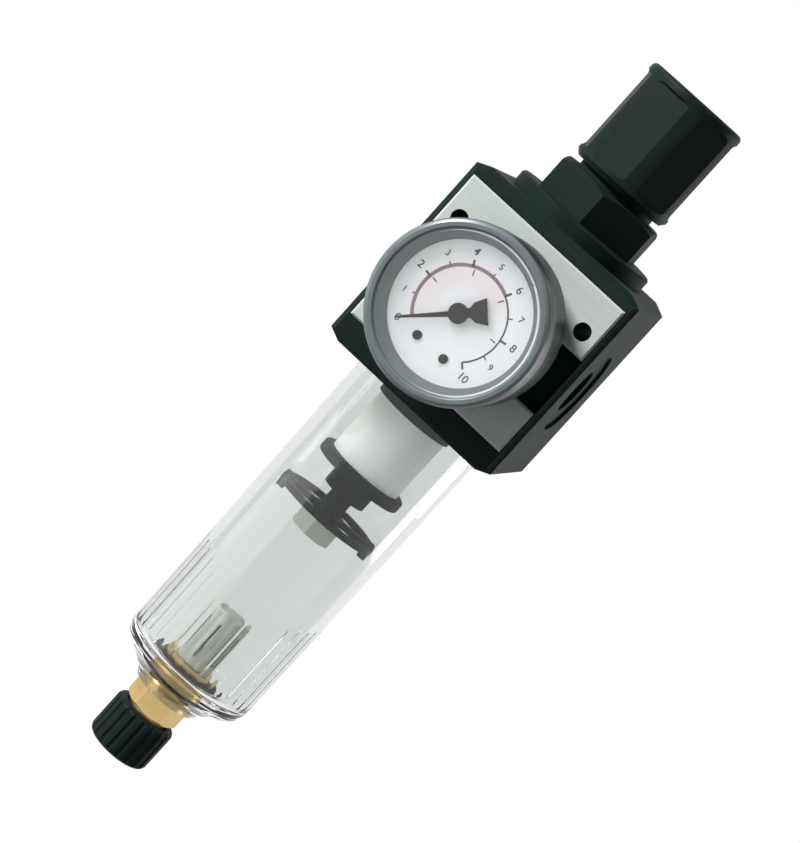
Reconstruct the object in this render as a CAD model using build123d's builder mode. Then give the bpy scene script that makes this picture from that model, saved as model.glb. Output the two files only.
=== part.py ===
from build123d import *
import os
from math import cos, radians, sin, sqrt

# Compressed air filter regulator: a cast block with two ports in line, a pressure gauge on its
# front, a spring bonnet with an adjusting knob above and a clear filter bowl with a drain below.
# Millimetres. The origin is on the flat rear face, midway between the two wall screw holes.
# X runs along the air line, -Y is the front and Z is up. Heights named below count from the
# port axis, and forward distances count from the front face of the block.

# Driving dimensions of the block
BODY_WIDTH = 50.0
BODY_DEPTH = 44.0
BODY_TOP = 26.5
BODY_BOTTOM = -26.5
EDGE_BEVEL = (3.5, 1.5)
FACE_BEVEL = 1.0
WALL_HOLE_SPACING = 38.0
WALL_HOLE_RADIUS = 2.15
WALL_HOLE_RISE = 13.0
PORT_RADIUS = 5.9
PORT_LENGTH = 12.0
PORT_RECESS = (11.35, 0.8)
GAUGE_PORT_RADIUS = 4.4
GAUGE_PORT_LENGTH = 9.0

# Rooms turned out of the block, and the web between them that holds the valve seat
CLAMP_RADIUS = 17.2
FOLD_RADIUS = 13.5
FOLD_BOTTOM = 18.5
CHAMBER_RADIUS = 7.5
BUSH_RADIUS = 6.0
WEB_TOP = -3.0
WEB_BOTTOM = -6.0
VALVE_ROOM_RADIUS = 7.0
BOSS_RADIUS = 9.0
BOSS_BOTTOM = -17.0
GAUGE_WAY_RADIUS = 1.5
INLET_WAY_RADIUS = 2.8
INLET_WAY_OFFSET = 14.5
OUTLET_WAY_RADIUS = 4.0
OUTLET_WAY_RISE = 1.5

# Front plate and the clamp pockets that join the block to its neighbours
PLATE_WIDTH = 46.6
PLATE_HEIGHT = 42.2
PLATE_RISE = 1.5
PAD_TOP = 24.9
PAD_BOTTOM = -25.3
PAD_HEIGHT = 0.6
PAD_BEVEL = (0.3, 1.4)
PLATE_THICKNESS = 1.2
PLATE_HOLE_RADIUS = 8.5
PLATE_PLAY = 0.1
POCKET_WIDTH = 5.9
POCKET_HEIGHT = 16.0
POCKET_DEPTH = 3.2

# Gauge
GAUGE_FRONT = 32.5
GAUGE_BACK = 6.0
GAUGE_RADIUS = 20.0
CASE_FRONT = 30.0
CASE_BORE = 18.9
BEZEL_RADIUS = 20.6
BEZEL_BACK = 24.5
BEZEL_LIP = 18.3
CONNECTION_BACK = 0.6
FEED_RADIUS = 4.97
WINDOW_FRONT = 32.1
DIAL_FRONT = 26.4
DIAL_RADIUS = 16.2
POINTER_LENGTH = 14.0
POINTER_REST = 225.0
POINTER_BACK = 28.0
PIVOT_RADIUS = 1.3
MOVEMENT_PLATES = (15.5, 22.0)
MOVEMENT_RISE = -3.5

# Bonnet, knob and regulating spring
FLANGE_RADIUS = 19.4
FLANGE_TOP = 30.1
HEX_ACROSS_FLATS = 27.0
HEX_TOP = 39.4
NECK_RADIUS = 10.7
NECK_TOP = 53.0
LOCK_RADIUS = 10.0
LOCK_BOTTOM = 49.7
LOCK_TEETH = 24
SPRING_ROOM_RADIUS = 8.6
SPRING_ROOM_TOP = 50.0
KNOB_RADIUS = 13.5
KNOB_BOTTOM = 41.0
KNOB_TOP = 68.5
KNOB_BORE = 11.6
KNOB_ROOF = 64.4
KNOB_FLATS = 6
FLAT_DISTANCE = 12.5
FLAT_RISE = 54.7
FLAT_OUTLINE = (11.4, 23.0, 2.6)
SOCKET_RADIUS = 7.6
SOCKET_BOTTOM = 55.5
SPINDLE_RADIUS = 4.0
SPINDLE_HEX = 10.0
SEAT_BOTTOM = 41.0
SEAT_HEIGHT = 4.0
DIAPHRAGM_HEIGHT = 21.5
DIAPHRAGM_THICKNESS = 1.0
PLATE_TOP = 24.6

# Valve
VALVE_SEAT_RADIUS = 4.0
VALVE_SEAT_FACE = -6.6
VALVE_HEAD_TOP = -8.0
VALVE_HEAD_BOTTOM = -10.0
VALVE_PIN_RADIUS = 1.2
GUIDE_TOP = -14.5

# Filter and bowl
THREAD_RADIUS = 17.6
THREAD_TOP = -12.0
THREAD_LEAD = 0.6
BOWL_RADIUS = 18.2
BOWL_FOOT_RADIUS = 17.7
BOWL_SHOULDER = -109.5
BOWL_NECK_RADIUS = 9.4
BOWL_BOTTOM = -119.4
BOWL_WALL = 2.4
RIB_COUNT = 36
RIB_TOP = -83.0
COLLAR_RADIUS = 17.3
COLLAR_TOP = -13.2
O_RING_GROOVE = (16.2, -15.0, -16.8)
BOWL_FLOOR = -112.0
STUD_RADIUS = 2.0
STUD_BOTTOM = -66.5
ELEMENT_RADIUS = 9.8
ELEMENT_BORE = 6.2
ELEMENT_TOP = -20.4
ELEMENT_BOTTOM = -47.0
HUB_BOTTOM = -54.8
BAFFLE_HEIGHT = -60.4
BAFFLE_RADIUS = 14.0

# Drain
DRAIN_SHANK_RADIUS = 5.4
DRAIN_HOLE = 5.45
DRAIN_HEAD_TOP = -108.8
DRAIN_NUT_BOTTOM = -125.0
DRAIN_STEM_RADIUS = 1.5
DRAIN_KNOB_RADIUS = 8.3
DRAIN_KNOB_TOP = -125.8
DRAIN_KNOB_BOTTOM = -137.6
DRAIN_FLUTES = 20

# Play between pieces that slide or turn in each other, and of holes over stud and shank
RUNNING_GAP = 0.06
HOLE_GAP = 0.05

# Where the axes lie in the frame of the part
PORT_Z = -WALL_HOLE_RISE
STEM_Y = -BODY_DEPTH / 2
STEM_AXIS = Axis((0, STEM_Y, 0), (0, 0, 1))
GAUGE_AXIS = Axis((0, 0, PORT_Z), (0, -1, 0))
# Radius and height of round pieces on the stem
STEM_SECTION = Plane(origin=(0, STEM_Y, PORT_Z), x_dir=(1, 0, 0), z_dir=(0, -1, 0))
# Radius and forward distance of round pieces of the gauge
GAUGE_SECTION = Plane(origin=(0, -BODY_DEPTH, PORT_Z), x_dir=(1, 0, 0), z_dir=(0, 0, -1))
REAR = Plane(origin=(0, 0, PORT_Z), x_dir=(-1, 0, 0), z_dir=(0, 1, 0))


def level(height):
    """A horizontal plane on the stem, at a height over the port axis."""
    return Plane(origin=(0, STEM_Y, PORT_Z + height), x_dir=(1, 0, 0), z_dir=(0, 0, 1))


def facing(forward):
    """A plane that looks forward, centred on the gauge axis."""
    return Plane(origin=(0, -BODY_DEPTH - forward, PORT_Z), x_dir=(1, 0, 0), z_dir=(0, -1, 0))


def side_face(side):
    """The left (-1) or right (1) face of the block, centred on its port."""
    return Plane(origin=(side * BODY_WIDTH / 2, STEM_Y, PORT_Z), x_dir=(0, side, 0), z_dir=(side, 0, 0))


def outer_rim(edges, axis):
    """The widest of the round edges that lie furthest along an axis."""
    return edges.filter_by(GeomType.CIRCLE).group_by(axis)[-1].sort_by(SortBy.RADIUS)[-1]


def write(piece, name):
    """Labels a finished piece and writes it to its own file."""
    piece.part.label = name
    export_step(piece.part, f"parts/{name}.step")


os.makedirs("parts", exist_ok=True)

# Block: a die-cast body with bevelled edges, ports left and right, gauge ports front and back
with BuildPart() as body:
    with BuildSketch(REAR):
        w, bevel_x, bevel_z = BODY_WIDTH / 2, *EDGE_BEVEL
        with BuildLine():
            Polyline((w, BODY_BOTTOM + bevel_z), (w, BODY_TOP - bevel_z), (w - bevel_x, BODY_TOP),
                     (bevel_x - w, BODY_TOP), (-w, BODY_TOP - bevel_z), (-w, BODY_BOTTOM + bevel_z),
                     (bevel_x - w, BODY_BOTTOM), (w - bevel_x, BODY_BOTTOM), close=True)
        make_face()
    extrude(amount=-BODY_DEPTH)
    chamfer(body.faces().sort_by(Axis.Y)[0].edges(), length=FACE_BEVEL)
    chamfer(body.faces().sort_by(Axis.Y)[-1].edges(), length=FACE_BEVEL / 2)
    # Raised pad with bevelled sides, and the seat of the front plate sunk into it
    for forward, inset_x, inset_z in ((0, 0, 0), (PAD_HEIGHT, *PAD_BEVEL)):
        with BuildSketch(facing(forward)):
            with Locations((0, (PAD_TOP + PAD_BOTTOM) / 2)):
                Rectangle(BODY_WIDTH - 2 * (FACE_BEVEL + inset_x), PAD_TOP - PAD_BOTTOM - 2 * inset_z)
    loft()
    with BuildSketch(facing(PAD_HEIGHT)):
        with Locations((0, PLATE_RISE)):
            Rectangle(PLATE_WIDTH + 2 * PLATE_PLAY, PLATE_HEIGHT + 2 * PLATE_PLAY)
    extrude(amount=-PAD_HEIGHT, mode=Mode.SUBTRACT)
    # Clamp pockets, two in front and two behind
    for plane in (facing(0), REAR):
        with BuildSketch(plane):
            with GridLocations(PLATE_WIDTH - POCKET_WIDTH, 0, 2, 1):
                Rectangle(POCKET_WIDTH, POCKET_HEIGHT)
        extrude(amount=-POCKET_DEPTH, mode=Mode.SUBTRACT)
    # Ports with a round seal recess
    for side in (-1, 1):
        for radius, depth in (PORT_RECESS, (PORT_RADIUS, PORT_RECESS[1] + PORT_LENGTH)):
            with BuildSketch(side_face(side)):
                Circle(radius)
            extrude(amount=-depth, mode=Mode.SUBTRACT)
    # Gauge ports, each with a narrow way to the regulated side
    gauge_bores = ((GAUGE_PORT_RADIUS, GAUGE_PORT_LENGTH),
                   (GAUGE_WAY_RADIUS, BODY_DEPTH / 2 - CHAMBER_RADIUS + 1))
    for plane in (facing(0), REAR):
        for radius, depth in gauge_bores:
            with BuildSketch(plane):
                Circle(radius)
            extrude(amount=-depth, mode=Mode.SUBTRACT)
    # Wall screw holes
    with BuildSketch(REAR):
        with Locations((0, WALL_HOLE_RISE)):
            with GridLocations(WALL_HOLE_SPACING, 0, 2, 1):
                Circle(WALL_HOLE_RADIUS)
    extrude(amount=-BODY_DEPTH, mode=Mode.SUBTRACT)
    # Diaphragm seat, regulated chamber, valve seat bore and valve room, all turned from above
    with BuildSketch(STEM_SECTION):
        with BuildLine():
            Polyline((0, BODY_TOP + 1), (CLAMP_RADIUS, BODY_TOP + 1), (CLAMP_RADIUS, DIAPHRAGM_HEIGHT),
                     (FOLD_RADIUS, DIAPHRAGM_HEIGHT), (FOLD_RADIUS, FOLD_BOTTOM),
                     (CHAMBER_RADIUS, FOLD_BOTTOM), (CHAMBER_RADIUS, WEB_TOP), (BUSH_RADIUS, WEB_TOP),
                     (BUSH_RADIUS, WEB_BOTTOM), (VALVE_ROOM_RADIUS, WEB_BOTTOM),
                     (VALVE_ROOM_RADIUS, BOSS_BOTTOM - 1), (0, BOSS_BOTTOM - 1), close=True)
        make_face()
    revolve(axis=STEM_AXIS, mode=Mode.SUBTRACT)
    # Bowl thread bore round the central boss
    with BuildSketch(STEM_SECTION):
        with BuildLine():
            Polyline((BOSS_RADIUS, THREAD_TOP), (THREAD_RADIUS, THREAD_TOP),
                     (THREAD_RADIUS, BODY_BOTTOM + THREAD_LEAD), (THREAD_RADIUS + THREAD_LEAD, BODY_BOTTOM),
                     (THREAD_RADIUS + THREAD_LEAD, BODY_BOTTOM - 1), (0, BODY_BOTTOM - 1),
                     (0, BOSS_BOTTOM), (BOSS_RADIUS, BOSS_BOTTOM), close=True)
        make_face()
    revolve(axis=STEM_AXIS, mode=Mode.SUBTRACT)
    # Inlet way down to the deflector, outlet way from the regulated chamber
    with BuildSketch(level(THREAD_TOP - 1)):
        with Locations((-INLET_WAY_OFFSET, 0)):
            Circle(INLET_WAY_RADIUS)
    extrude(amount=1 - THREAD_TOP, mode=Mode.SUBTRACT)
    with BuildSketch(side_face(1)):
        with Locations((0, OUTLET_WAY_RISE)):
            Circle(OUTLET_WAY_RADIUS)
    extrude(amount=CHAMBER_RADIUS - 1 - BODY_WIDTH / 2, mode=Mode.SUBTRACT)
write(body, "body")

# Brass bush pressed into the web, with the raised lip that the valve closes on
with BuildPart() as valve_seat:
    with BuildSketch(STEM_SECTION):
        with BuildLine():
            Polyline((VALVE_SEAT_RADIUS, WEB_TOP), (BUSH_RADIUS, WEB_TOP), (BUSH_RADIUS, WEB_BOTTOM),
                     (VALVE_SEAT_RADIUS + 1.1, WEB_BOTTOM), (VALVE_SEAT_RADIUS + 0.5, VALVE_SEAT_FACE),
                     (VALVE_SEAT_RADIUS, VALVE_SEAT_FACE), close=True)
        make_face()
    revolve(axis=STEM_AXIS)
write(valve_seat, "valve_seat")

# Front plate: sheet metal with a bevelled rim, notched beside the clamp pockets
with BuildPart() as front_plate:
    with BuildSketch(facing(0)):
        with Locations((0, PLATE_RISE)):
            Rectangle(PLATE_WIDTH, PLATE_HEIGHT)
        with GridLocations(PLATE_WIDTH - POCKET_WIDTH, 0, 2, 1):
            Rectangle(POCKET_WIDTH, POCKET_HEIGHT, mode=Mode.SUBTRACT)
        with Locations((0, WALL_HOLE_RISE)):
            with GridLocations(WALL_HOLE_SPACING, 0, 2, 1):
                Circle(WALL_HOLE_RADIUS, mode=Mode.SUBTRACT)
        Circle(PLATE_HOLE_RADIUS, mode=Mode.SUBTRACT)
    extrude(amount=PLATE_THICKNESS)
    plate_front = front_plate.faces().sort_by(Axis.Y)[0]
    chamfer(plate_front.outer_wire().edges(), length=0.5)
write(front_plate, "front_plate")

# Plug in the rear gauge port, sunk a little, with a hexagon socket
PLUG_PLANE = REAR.offset(-0.3)
with BuildPart() as rear_plug:
    with BuildSketch(PLUG_PLANE):
        Circle(GAUGE_PORT_RADIUS - 0.02)
    extrude(amount=-7)
    chamfer(rear_plug.edges().group_by(Axis.Y)[-1], length=0.5)
    with BuildSketch(PLUG_PLANE):
        RegularPolygon(radius=2.9, side_count=6)
    extrude(amount=-4, mode=Mode.SUBTRACT)
write(rear_plug, "rear_plug")

# Section of the pressure tube where it leaves the feed block, as radius and forward distance
TUBE_START = radians(-78)
TUBE_PLANE = Plane(origin=GAUGE_SECTION.origin, x_dir=(cos(TUBE_START), 0, sin(TUBE_START)),
                   z_dir=(sin(TUBE_START), 0, -cos(TUBE_START)))
TUBE_CENTRE = (13.5, 11.5)
TUBE_SECTION = (1.6, 6, 0.7)

# Gauge connection: brass shank, hexagon and the block that feeds the pressure tube
with BuildPart() as gauge_connection:
    with BuildSketch(GAUGE_SECTION):
        with BuildLine():
            Polyline((0, -8.6), (GAUGE_PORT_RADIUS - 0.9, -8.6), (GAUGE_PORT_RADIUS - HOLE_GAP, -7.8),
                     (GAUGE_PORT_RADIUS - HOLE_GAP, CONNECTION_BACK), (FEED_RADIUS, CONNECTION_BACK),
                     (FEED_RADIUS, 10), (0, 10), close=True)
        make_face()
    revolve(axis=GAUGE_AXIS)
    with BuildSketch(facing(CONNECTION_BACK)):
        RegularPolygon(radius=8, side_count=6)
    extrude(amount=GAUGE_BACK - CONNECTION_BACK)
    with BuildSketch(facing(GAUGE_BACK + 1.5)):
        with Locations((0, -7)):
            Rectangle(8, 16)
    extrude(amount=8)
    # Socket that the end of the pressure tube is soldered into, and the bore that feeds it
    with BuildSketch(TUBE_PLANE):
        with Locations(TUBE_CENTRE):
            RectangleRounded(*TUBE_SECTION)
    revolve(axis=GAUGE_AXIS, revolution_arc=12, mode=Mode.SUBTRACT)
    with BuildSketch(facing(-9)):
        Circle(1.2)
    extrude(amount=16, mode=Mode.SUBTRACT)
write(gauge_connection, "gauge_connection")

# Gauge case: a deep drawn cup
with BuildPart() as gauge_case:
    with BuildSketch(GAUGE_SECTION):
        with BuildLine():
            Polyline((5, GAUGE_BACK), (GAUGE_RADIUS, GAUGE_BACK), (GAUGE_RADIUS, CASE_FRONT),
                     (CASE_BORE, CASE_FRONT), (CASE_BORE, DIAL_FRONT - 0.4),
                     (CASE_BORE - 0.5, DIAL_FRONT - 0.4), (CASE_BORE - 0.5, GAUGE_BACK + 1.5),
                     (5, GAUGE_BACK + 1.5), close=True)
        make_face()
    revolve(axis=GAUGE_AXIS)
    fillet(outer_rim(gauge_case.edges(), Axis.Y), radius=1.3)
write(gauge_case, "gauge_case")

# Bezel rolled over the case rim, with a lip that holds the window
with BuildPart() as gauge_bezel:
    with BuildSketch(GAUGE_SECTION):
        with BuildLine():
            Polyline((GAUGE_RADIUS + HOLE_GAP, BEZEL_BACK), (BEZEL_RADIUS, BEZEL_BACK),
                     (BEZEL_RADIUS, WINDOW_FRONT - 0.8), (BEZEL_RADIUS - 0.35, WINDOW_FRONT),
                     (BEZEL_RADIUS - 1, GAUGE_FRONT),
                     (BEZEL_LIP + 0.4, GAUGE_FRONT), (BEZEL_LIP, WINDOW_FRONT),
                     (BEZEL_LIP, WINDOW_FRONT - 0.35), (CASE_BORE + 0.3, WINDOW_FRONT - 0.35),
                     (CASE_BORE + 0.3, CASE_FRONT + HOLE_GAP),
                     (GAUGE_RADIUS + HOLE_GAP, CASE_FRONT + HOLE_GAP), close=True)
        make_face()
    revolve(axis=GAUGE_AXIS)
write(gauge_bezel, "gauge_bezel")

# Conical ring between dial and window
with BuildPart() as gauge_liner:
    with BuildSketch(GAUGE_SECTION):
        with BuildLine():
            Polyline((DIAL_RADIUS, DIAL_FRONT), (CASE_BORE - HOLE_GAP, DIAL_FRONT),
                     (CASE_BORE - HOLE_GAP, CASE_FRONT), (BEZEL_LIP - 0.2, CASE_FRONT),
                     (DIAL_RADIUS + 0.1, DIAL_FRONT + 0.8), (DIAL_RADIUS, DIAL_FRONT + 0.6), close=True)
        make_face()
    revolve(axis=GAUGE_AXIS)
write(gauge_liner, "gauge_liner")

# Window: a flat disc, stepped and bevelled where the lip of the bezel holds it
with BuildPart() as gauge_window:
    with BuildSketch(GAUGE_SECTION):
        with BuildLine():
            Polyline((0, CASE_FRONT + HOLE_GAP), (CASE_BORE + 0.2, CASE_FRONT + HOLE_GAP),
                     (CASE_BORE + 0.2, WINDOW_FRONT - 0.4), (BEZEL_LIP - 0.1, WINDOW_FRONT - 0.4),
                     (BEZEL_LIP - 0.5, WINDOW_FRONT), (0, WINDOW_FRONT), close=True)
        make_face()
    revolve(axis=GAUGE_AXIS)
write(gauge_window, "gauge_window")

# Dial: a thin white disc with holes for the arbor and for its two screws
DIAL_THICKNESS = 0.4
DIAL_SCREW_RADIUS = 0.62
DIAL_SCREW_HOLE = 0.65
DIAL_SCREW_SPACING = 7.8
DIAL_SCREW_RISE = -9.7
with BuildPart() as gauge_dial:
    with BuildSketch(facing(DIAL_FRONT - DIAL_THICKNESS)):
        Circle(CASE_BORE - 0.1)
        Circle(1, mode=Mode.SUBTRACT)
        with Locations((0, DIAL_SCREW_RISE)):
            with GridLocations(DIAL_SCREW_SPACING, 0, 2, 1):
                Circle(DIAL_SCREW_HOLE, mode=Mode.SUBTRACT)
    extrude(amount=DIAL_THICKNESS)
write(gauge_dial, "gauge_dial")

# The two screws, from inside the movement's front plate to their flat heads on the dial
DIAL_SCREW_TIP = MOVEMENT_PLATES[1] + 0.2
with BuildPart() as dial_screws:
    for radius, forward, length in ((DIAL_SCREW_RADIUS, DIAL_SCREW_TIP, DIAL_FRONT - DIAL_SCREW_TIP),
                                    (1.05, DIAL_FRONT, 0.5)):
        with BuildSketch(facing(forward)):
            with Locations((0, DIAL_SCREW_RISE)):
                with GridLocations(DIAL_SCREW_SPACING, 0, 2, 1):
                    Circle(radius)
        extrude(amount=length)
write(dial_screws, "dial_screws")

# Movement: two plates on four pillars, screwed to the feed block, carry the pointer arbor
ARBOR_RADIUS = 0.5
with BuildPart() as movement_frame:
    for forward in MOVEMENT_PLATES:
        with BuildSketch(facing(forward)):
            with Locations((0, MOVEMENT_RISE)):
                Rectangle(13, 15)
            Circle(ARBOR_RADIUS + RUNNING_GAP, mode=Mode.SUBTRACT)
        extrude(amount=1)
    with BuildSketch(facing(MOVEMENT_PLATES[0] + 1)):
        with Locations((0, MOVEMENT_RISE)):
            with GridLocations(10.5, 12.5, 2, 2):
                Circle(0.9)
    extrude(amount=MOVEMENT_PLATES[1] - MOVEMENT_PLATES[0] - 1)
    with BuildSketch(facing(MOVEMENT_PLATES[1])):
        with Locations((0, DIAL_SCREW_RISE)):
            with GridLocations(DIAL_SCREW_SPACING, 0, 2, 1):
                Circle(DIAL_SCREW_HOLE)
    extrude(amount=1, mode=Mode.SUBTRACT)
write(movement_frame, "movement_frame")

# Bourdon tube: a flattened tube bent to most of a circle from the feed block
with BuildPart() as bourdon_tube:
    with BuildSketch(TUBE_PLANE):
        with Locations(TUBE_CENTRE):
            RectangleRounded(*TUBE_SECTION)
    revolve(axis=GAUGE_AXIS, revolution_arc=255)
write(bourdon_tube, "bourdon_tube")

# Pointer: a stamped needle with a flared counterweight, its axis at zero where the scale begins
POINTER_THICKNESS = 0.4
NEEDLE_HALF = ((POINTER_LENGTH, 0.25), (1.5, 0.65), (-2.6, 1.1), (-3.6, 2.2), (-6.4, 3))
turn = radians(POINTER_REST)
pointer_plane = Plane(origin=facing(POINTER_BACK).origin, x_dir=(cos(turn), 0, sin(turn)),
                      z_dir=(0, -1, 0))
with BuildPart() as pointer:
    with BuildSketch(pointer_plane):
        with BuildLine():
            Polyline(*NEEDLE_HALF, *((x, -y) for x, y in reversed(NEEDLE_HALF)), close=True)
        make_face()
        Circle(2)
        Circle(PIVOT_RADIUS, mode=Mode.SUBTRACT)
    extrude(amount=POINTER_THICKNESS)
write(pointer, "pointer")

# Hub and arbor in one: the arbor runs in both movement plates and its head is riveted on the pointer
with BuildPart() as pointer_hub:
    with BuildSketch(GAUGE_SECTION):
        with BuildLine():
            Polyline((0, MOVEMENT_PLATES[0] + 0.2), (ARBOR_RADIUS, MOVEMENT_PLATES[0] + 0.2),
                     (ARBOR_RADIUS, POINTER_BACK - 0.6), (1.7, POINTER_BACK - 0.6), (1.7, POINTER_BACK),
                     (PIVOT_RADIUS, POINTER_BACK), (PIVOT_RADIUS, POINTER_BACK + POINTER_THICKNESS),
                     (2.3, POINTER_BACK + POINTER_THICKNESS), (2.3, POINTER_BACK + 0.8),
                     (1.9, POINTER_BACK + 1.1), (0, POINTER_BACK + 1.1), close=True)
        make_face()
    revolve(axis=GAUGE_AXIS)
write(pointer_hub, "pointer_hub")

# Bonnet: flange, spanner hexagon and a long neck that the knob slides over
CLAMP_HEIGHT = DIAPHRAGM_HEIGHT + DIAPHRAGM_THICKNESS
with BuildPart() as bonnet:
    with BuildSketch(level(FLANGE_TOP - 1)):
        RegularPolygon(radius=HEX_ACROSS_FLATS / sqrt(3), side_count=6, rotation=33)
    extrude(amount=HEX_TOP - FLANGE_TOP + 1)
    # Spanner chamfer round the top of the hexagon
    with BuildSketch(STEM_SECTION):
        with BuildLine():
            Polyline((13.3, HEX_TOP), (17, HEX_TOP - 2.1), (17, HEX_TOP + 1), (13.3, HEX_TOP + 1),
                     close=True)
        make_face()
    revolve(axis=STEM_AXIS, mode=Mode.SUBTRACT)
    with BuildSketch(STEM_SECTION):
        with BuildLine():
            Polyline((0, CLAMP_HEIGHT), (CLAMP_RADIUS - 0.1, CLAMP_HEIGHT), (CLAMP_RADIUS - 0.1, BODY_TOP),
                     (FLANGE_RADIUS, BODY_TOP), (FLANGE_RADIUS, FLANGE_TOP - 0.5),
                     (FLANGE_RADIUS - 0.5, FLANGE_TOP), (NECK_RADIUS, FLANGE_TOP),
                     (NECK_RADIUS, LOCK_BOTTOM - 0.7), (LOCK_RADIUS, LOCK_BOTTOM),
                     (LOCK_RADIUS, NECK_TOP), (0, NECK_TOP), close=True)
        make_face()
    revolve(axis=STEM_AXIS)
    # Teeth that the knob drops onto when it is locked
    with BuildSketch(level(LOCK_BOTTOM)):
        with PolarLocations(LOCK_RADIUS + 0.5, LOCK_TEETH):
            Rectangle(1.4, 1.2)
    extrude(amount=NECK_TOP - LOCK_BOTTOM)
    # Spring room, opening below to the diaphragm plate, and the spindle bore
    with BuildSketch(STEM_SECTION):
        with BuildLine():
            Polyline((0, CLAMP_HEIGHT - 0.5), (FOLD_RADIUS + 0.1, CLAMP_HEIGHT - 0.5),
                     (FOLD_RADIUS + 0.1, 25.5), (SPRING_ROOM_RADIUS, 28.5),
                     (SPRING_ROOM_RADIUS, SPRING_ROOM_TOP), (SPINDLE_RADIUS + RUNNING_GAP, SPRING_ROOM_TOP),
                     (SPINDLE_RADIUS + RUNNING_GAP, NECK_TOP + 1), (0, NECK_TOP + 1), close=True)
        make_face()
    revolve(axis=STEM_AXIS, mode=Mode.SUBTRACT)
    # Grooves that stop the spring seat from turning
    with BuildSketch(level(33)):
        with GridLocations(2 * SPRING_ROOM_RADIUS - 0.6, 0, 2, 1):
            Rectangle(2.8, 2.5)
    extrude(amount=13.5, mode=Mode.SUBTRACT)
write(bonnet, "bonnet")

# Knob: a hollow cap with six flats, drawn up off the lock teeth as the photograph shows it
LAND_ANGLE = -75.6
with BuildPart() as adjusting_knob:
    with BuildSketch(STEM_SECTION):
        with BuildLine():
            Polyline((KNOB_BORE, KNOB_BOTTOM), (KNOB_RADIUS - 1, KNOB_BOTTOM),
                     (KNOB_RADIUS, KNOB_BOTTOM + 1.3), (KNOB_RADIUS, KNOB_TOP), (9.8, KNOB_TOP),
                     (9.3, KNOB_TOP - 0.4), (0, KNOB_TOP - 0.4),
                     (0, SOCKET_BOTTOM), (SOCKET_RADIUS, SOCKET_BOTTOM), (SOCKET_RADIUS, KNOB_ROOF),
                     (KNOB_BORE, KNOB_ROOF), close=True)
        make_face()
    revolve(axis=STEM_AXIS)
    fillet(outer_rim(adjusting_knob.edges(), Axis.Z), radius=1.3)
    # Flats with rounded corners
    for index in range(KNOB_FLATS):
        angle = radians(LAND_ANGLE + (index + 0.5) * 360 / KNOB_FLATS)
        out = (cos(angle), sin(angle))
        flat_centre = (FLAT_DISTANCE * out[0], STEM_Y + FLAT_DISTANCE * out[1], PORT_Z + FLAT_RISE)
        with BuildSketch(Plane(origin=flat_centre, x_dir=(-out[1], out[0], 0), z_dir=(*out, 0))):
            RectangleRounded(*FLAT_OUTLINE)
        extrude(amount=3, mode=Mode.SUBTRACT)
    # Inner teeth that drop between those of the bonnet
    with BuildSketch(level(NECK_TOP + 0.4)):
        with PolarLocations(KNOB_BORE - 0.45, LOCK_TEETH, start_angle=180 / LOCK_TEETH):
            Rectangle(1.5, 1.1)
    extrude(amount=1.6)
    # Hexagon socket that turns the spindle and slides on it
    with BuildSketch(level(SOCKET_BOTTOM)):
        RegularPolygon(radius=(SPINDLE_HEX + 0.2) / sqrt(3), side_count=6)
    extrude(amount=8.1, mode=Mode.SUBTRACT)
write(adjusting_knob, "adjusting_knob")

# Spindle: adjusting screw with a hexagon head, held under the bonnet's top by a circlip
GROOVE_RADIUS = 3.5
GROOVE_BOTTOM = 49.1
GROOVE_TOP = 49.95
with BuildPart() as spindle:
    with BuildSketch(STEM_SECTION):
        with BuildLine():
            Polyline((0, 34), (GROOVE_RADIUS, 34), (SPINDLE_RADIUS, 34.5), (SPINDLE_RADIUS, GROOVE_BOTTOM),
                     (GROOVE_RADIUS, GROOVE_BOTTOM), (GROOVE_RADIUS, GROOVE_TOP),
                     (SPINDLE_RADIUS, GROOVE_TOP), (SPINDLE_RADIUS, NECK_TOP + 0.2), (0, NECK_TOP + 0.2),
                     close=True)
        make_face()
    revolve(axis=STEM_AXIS)
    with BuildSketch(level(NECK_TOP + HOLE_GAP)):
        RegularPolygon(radius=SPINDLE_HEX / sqrt(3), side_count=6)
    extrude(amount=8.9)
write(spindle, "spindle")

# Circlip: a stamped ring, open on one side, sprung into the groove of the spindle
with BuildPart() as spindle_circlip:
    with BuildSketch(level(GROOVE_BOTTOM + HOLE_GAP)):
        Circle(5.6)
        Circle(GROOVE_RADIUS + 0.03, mode=Mode.SUBTRACT)
        with Locations((4.5, 0)):
            Rectangle(3, 3.4, mode=Mode.SUBTRACT)
    extrude(amount=0.75)
write(spindle_circlip, "spindle_circlip")

# Spring seat: the nut that runs down the spindle and loads the spring, with a keyed rim
SEAT_PILOT = 1.2
with BuildPart() as spring_seat:
    with BuildSketch(level(SEAT_BOTTOM)):
        Circle(SPRING_ROOM_RADIUS - 0.3)
        with GridLocations(16.4, 0, 2, 1):
            Rectangle(2.4, 2)
    extrude(amount=SEAT_HEIGHT)
    with BuildSketch(level(SEAT_BOTTOM - SEAT_PILOT)):
        Circle(5.2)
    extrude(amount=SEAT_PILOT)
    with BuildSketch(level(SEAT_BOTTOM - SEAT_PILOT)):
        Circle(SPINDLE_RADIUS + RUNNING_GAP)
    extrude(amount=SEAT_HEIGHT + SEAT_PILOT, mode=Mode.SUBTRACT)
write(spring_seat, "spring_seat")


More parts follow.
